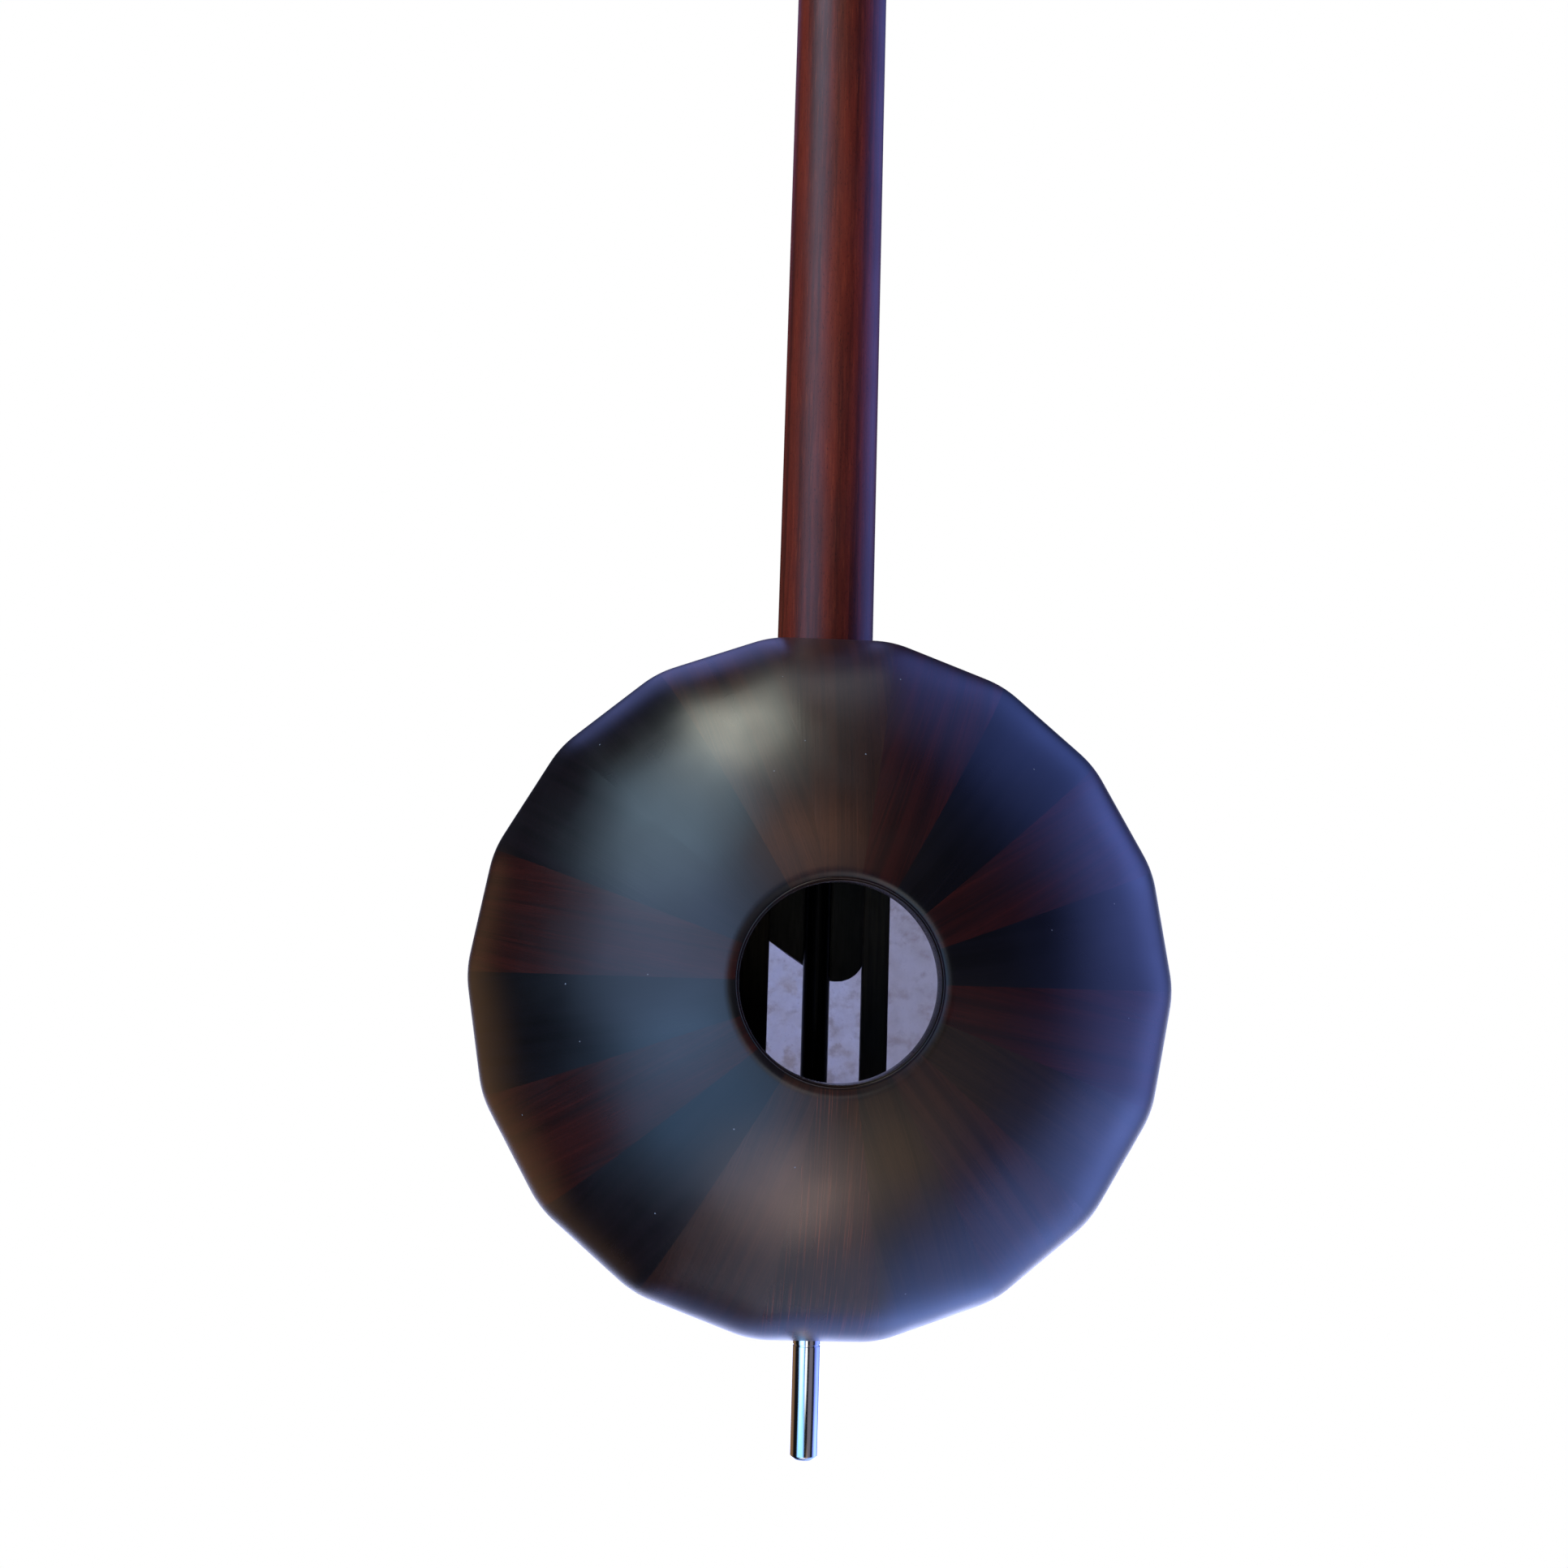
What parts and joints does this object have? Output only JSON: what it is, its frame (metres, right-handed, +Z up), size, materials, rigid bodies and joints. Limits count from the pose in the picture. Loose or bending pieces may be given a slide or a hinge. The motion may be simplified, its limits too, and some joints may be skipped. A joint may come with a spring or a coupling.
{
  "type": "spike fiddle",
  "caption": "Bowed spike fiddle with an open-backed stave-built bowl on a steel through-rod, turned neck, tuning pegs, skin front and steel spike.",
  "frame": {"origin": "on the spike's axis, at the shoulder where the spike meets the tailpiece plate under the bowl", "axes": "+Z up the rod and the neck to the crown, -Y out of the skin, +Y out of the open back, +X to the left as seen from the back"},
  "size_m": [0.2, 0.1218, 0.652],
  "materials": {
    "stave_brown": "satin lacquer over brown-stained hardwood, straight grain",
    "stave_red": "satin lacquer over red-brown hardwood, straight grain",
    "stave_dark": "satin lacquer over near-black hardwood, straight grain",
    "ring_wood": "satin lacquered turned wood",
    "block_wood": "bare planed wood",
    "brace_wood": "bare dark wood",
    "heel_black": "wood stained black",
    "rod_steel": "drawn steel rod, lightly oiled",
    "spike_chrome": "polished and plated steel",
    "skin": "thin stretched skin, mottled and translucent",
    "binding_wood": "thin dark wood band, glued",
    "tail_metal": "bent and polished sheet",
    "bridge_wood": "bare cut wood",
    "neck_wood": "satin lacquer over red-brown turned wood",
    "nut_bone": "polished bone",
    "head_wood": "satin lacquered turned wood",
    "peg_wood": "polished dark wood",
    "string_steel": "wound and plain steel string"
  },
  "bodies": {
    "instrument": {"stave_01": "stave_brown", "stave_02": "stave_red", "stave_03": "stave_dark", "stave_04": "stave_red", "stave_05": "stave_dark", "stave_06": "stave_red", "stave_07": "stave_brown", "stave_08": "stave_brown", "stave_09": "stave_brown", "stave_10": "stave_red", "stave_11": "stave_brown", "stave_12": "stave_dark", "stave_13": "stave_red", "stave_14": "stave_dark", "stave_15": "stave_red", "stave_16": "stave_dark", "stave_17": "stave_dark", "stave_18": "stave_brown", "back_ring": "ring_wood", "front_hoop": "block_wood", "skin": "skin", "skin_binding": "binding_wood", "top_block": "block_wood", "bottom_block": "block_wood", "brace_left": "brace_wood", "brace_right": "brace_wood", "neck_heel": "heel_black", "through_rod": "rod_steel", "spike": "spike_chrome", "spike_collar": "binding_wood", "tailpiece": "tail_metal", "bridge": "bridge_wood", "neck": "neck_wood", "nut": "nut_bone", "pegbox": "head_wood", "crown": "head_wood", "string_1": "string_steel", "string_2": "string_steel", "string_3": "string_steel", "string_4": "string_steel"},
    "peg_1_body": {"peg_1": "peg_wood", "winding_1": "string_steel"},
    "peg_2_body": {"peg_2": "peg_wood", "winding_2": "string_steel"},
    "peg_3_body": {"peg_3": "peg_wood", "winding_3": "string_steel"},
    "peg_4_body": {"peg_4": "peg_wood", "winding_4": "string_steel"}
  },
  "joints": [
    {"name": "peg_1_turn", "type": "hinge", "parent": "instrument", "child": "peg_1_body", "pos_m": [0, -0.002, 0.46696], "axis": [1, 0, 0], "continuous": true},
    {"name": "peg_2_turn", "type": "hinge", "parent": "instrument", "child": "peg_2_body", "pos_m": [0, -0.002, 0.49096], "axis": [-1, 0, 0], "continuous": true},
    {"name": "peg_3_turn", "type": "hinge", "parent": "instrument", "child": "peg_3_body", "pos_m": [0, -0.002, 0.51496], "axis": [1, 0, 0], "continuous": true},
    {"name": "peg_4_turn", "type": "hinge", "parent": "instrument", "child": "peg_4_body", "pos_m": [0, -0.002, 0.53896], "axis": [-1, 0, 0], "continuous": true}
  ]
}
